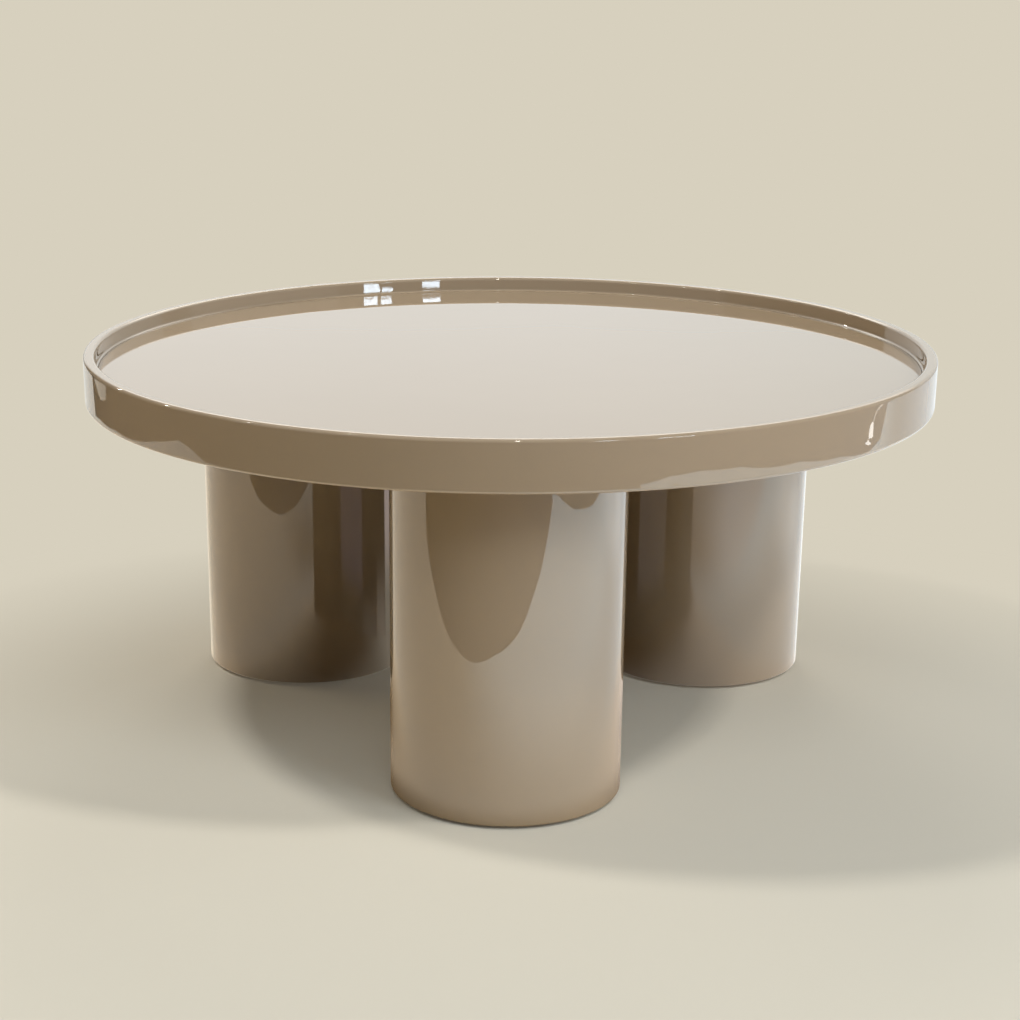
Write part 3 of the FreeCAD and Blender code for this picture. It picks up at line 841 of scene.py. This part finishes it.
WINDOW_DISTANCE = 6.0
WINDOW_GLOSS = (0.74, 0.87, 1.0)
WINDOW_STRENGTH = 33.0
WINDOW_TOP = 1.82
PANES = {
    "near_low_pane": [(45.68, 1.36), (42.06, 1.36), (40.0, 1.451), (45.62, 1.4555)],
    "middle_low_pane": [(39.6, 1.433), (36.0, 1.433), (36.0, 1.451), (39.6, 1.451)],
    "near_high_pane": [(45.65, 1.462), (41.1, 1.462), (41.1, WINDOW_TOP), (45.65, WINDOW_TOP)],
    "middle_high_pane": [(40.0, 1.468), (36.5, 1.468), (36.5, WINDOW_TOP), (40.0, WINDOW_TOP)],
    "far_low_pane": [(26.5, 1.36), (21.0, 1.36), (21.0, 1.429), (26.5, 1.429)],
    "far_high_pane": [(26.3, 1.476), (20.7, 1.476), (20.7, WINDOW_TOP), (26.3, WINDOW_TOP)],
}
STRIP_DISTANCE = 4.0
STRIP_WIDTH = 1.4
STRIP_GLOSS = (1.0, 0.97, 0.90)
STRIPS = {
    "strip_front": (3.0, 48.0, 52.0, 150.0),
    "strip_front_left": (-47.0, 43.0, 45.0, 150.0),
    "strip_left": (-66.0, 40.0, 42.0, 110.0),
    "strip_left_next": (-78.0, 36.0, 38.0, 150.0),
    "strip_left_behind": (-106.0, 28.0, 30.0, 300.0),
    "strip_behind": (-128.0, 21.0, 23.0, 160.0),
}


def round_about(distance, degrees, height):
    """Point at a distance from the table's axis, turned by degrees from the front to the right."""
    turn = math.radians(degrees)
    return (distance * math.sin(turn), -distance * math.cos(turn), height)


window_light = glowing("window_light", WINDOW_GLOSS, WINDOW_STRENGTH)
for name, corners in PANES.items():
    pane = mirrored_only(sheet(name, [round_about(WINDOW_DISTANCE, *corner) for corner in corners]))
    pane.data.materials.append(window_light)
for name, (degrees, low, high, strength) in STRIPS.items():
    low_height = hoop_high.z + STRIP_DISTANCE * math.tan(math.radians(low))
    high_height = hoop_high.z + STRIP_DISTANCE * math.tan(math.radians(high))
    strip = mirrored_only(sheet(name, [
        round_about(STRIP_DISTANCE, degrees - STRIP_WIDTH / 2, low_height),
        round_about(STRIP_DISTANCE, degrees + STRIP_WIDTH / 2, low_height),
        round_about(STRIP_DISTANCE, degrees + STRIP_WIDTH / 2, high_height),
        round_about(STRIP_DISTANCE, degrees - STRIP_WIDTH / 2, high_height),
    ]))
    strip.data.materials.append(glowing(name, STRIP_GLOSS, strength))


# Lamps: plain boxes above the table, a warm bank at the left, plain and cool banks behind and in
# front, and cool windows at the right. The lacquer doesn't mirror them, and the world's light is
# low, so the shade under the top stays dark. Each lamp: place, width, height, watts, colour.

TABLE_MIDDLE = (0.0, 0.0, 0.30)


def soft_box(name, place, width, height, power, colour):
    """Rectangular lamp whose middle is at place and whose face points at the table's middle."""
    lamp = bpy.data.lights.new(name, "AREA")
    lamp.shape = "RECTANGLE"
    lamp.size = width
    lamp.size_y = height
    lamp.energy = power
    lamp.color = colour
    piece = bpy.data.objects.new(name, lamp)
    aim = np.subtract(TABLE_MIDDLE, place)
    aim = aim / np.linalg.norm(aim)
    side = np.cross(aim, (0, 0, 1))
    side = side / np.linalg.norm(side)
    top = np.cross(side, aim)
    turn = np.eye(4)
    turn[:3, :3] = np.stack([side, top, -aim], axis=1)
    turn[:3, 3] = place
    piece.matrix_world = turn.T.tolist()
    piece.visible_glossy = False
    bpy.context.scene.collection.objects.link(piece)


WARM = (1.0, 0.86, 0.62)
PLAIN = (1.0, 0.985, 0.97)
COOL = (0.87, 0.95, 1.05)
LAMPS = {
    "left_box": ((-1.42, -0.19, 2.76), 0.28, 0.28, 38.0, PLAIN),
    "right_box": ((3.80, -1.60, 6.40), 0.70, 0.70, 215.0, PLAIN),
    "left_bank": ((-3.07, 1.12, 1.90), 1.50, 1.20, 22.0, WARM),
    "front_bank": ((0.00, -2.47, 2.85), 2.00, 1.40, 30.0, COOL),
    "back_bank": ((0.00, 3.06, 2.95), 1.50, 1.50, 40.0, PLAIN),
    "high_window": ((2.45, -2.45, 2.38), 1.50, 1.50, 66.0, COOL),
    "low_window": ((2.79, -2.79, 1.07), 1.20, 1.20, 10.0, COOL),
    "side_window": ((3.85, 0.68, 1.21), 1.30, 1.30, 15.0, COOL),
}
for name, settings in LAMPS.items():
    soft_box(name, *settings)

WORLD_LIGHT = (0.055, 0.053, 0.050)
WORLD_GLOSS = (0.50, 0.49, 0.47)

world = bpy.data.worlds.new("studio")
bpy.context.scene.world = world
world.use_nodes = True
tree = world.node_tree
tree.nodes.clear()
path = add_node(tree, "ShaderNodeLightPath").outputs
room = add_node(tree, "ShaderNodeBackground", Color=(*WORLD_LIGHT, 1)).outputs[0]
sheen = add_node(tree, "ShaderNodeBackground", Color=(*WORLD_GLOSS, 1)).outputs[0]
backdrop = add_node(tree, "ShaderNodeBackground", Color=(*PALE, 1)).outputs[0]
around = mix_shaders(tree, path["Is Glossy Ray"], room, sheen)
shown = mix_shaders(tree, path["Is Camera Ray"], around, backdrop)
add_node(tree, "ShaderNodeOutputWorld", {"Surface": shown})


# Camera: stands in front of the table, a little above it, with its picture's middle off the lens
# axis as in a cropped photograph. Distances are in top diameters, angles in radians.

IMAGE = 1020
SENSOR = 36.0
FOCAL_PIXELS = 2106.88
AXIS_PIXEL = (418.2, 645.6)
STAND = (-0.0292, -2.4926, 0.9156)
YAW = 0.0311
PITCH = 0.3299
ROLL = -0.0021

top_diameter = cad_high.x - cad_low.x
level = np.array([-math.sin(YAW), math.cos(YAW), 0.0])
right = np.array([math.cos(YAW), math.sin(YAW), 0.0])
ahead = level * math.cos(PITCH) - np.array([0, 0, math.sin(PITCH)])
up = level * math.sin(PITCH) + np.array([0, 0, math.cos(PITCH)])
turn = np.eye(4)
turn[:3, 0] = right * math.cos(ROLL) + up * math.sin(ROLL)
turn[:3, 1] = up * math.cos(ROLL) - right * math.sin(ROLL)
turn[:3, 2] = -ahead
turn[:3, 3] = np.multiply(STAND, top_diameter)

lens = bpy.data.cameras.new("camera")
lens.sensor_width = SENSOR
lens.lens = FOCAL_PIXELS * SENSOR / IMAGE
lens.shift_x = (IMAGE / 2 - AXIS_PIXEL[0]) / IMAGE
lens.shift_y = (AXIS_PIXEL[1] - IMAGE / 2) / IMAGE
camera = bpy.data.objects.new("camera", lens)
camera.matrix_world = turn.T.tolist()
bpy.context.scene.collection.objects.link(camera)
bpy.context.scene.camera = camera
bpy.context.scene.view_settings.view_transform = "Standard"

low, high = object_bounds()
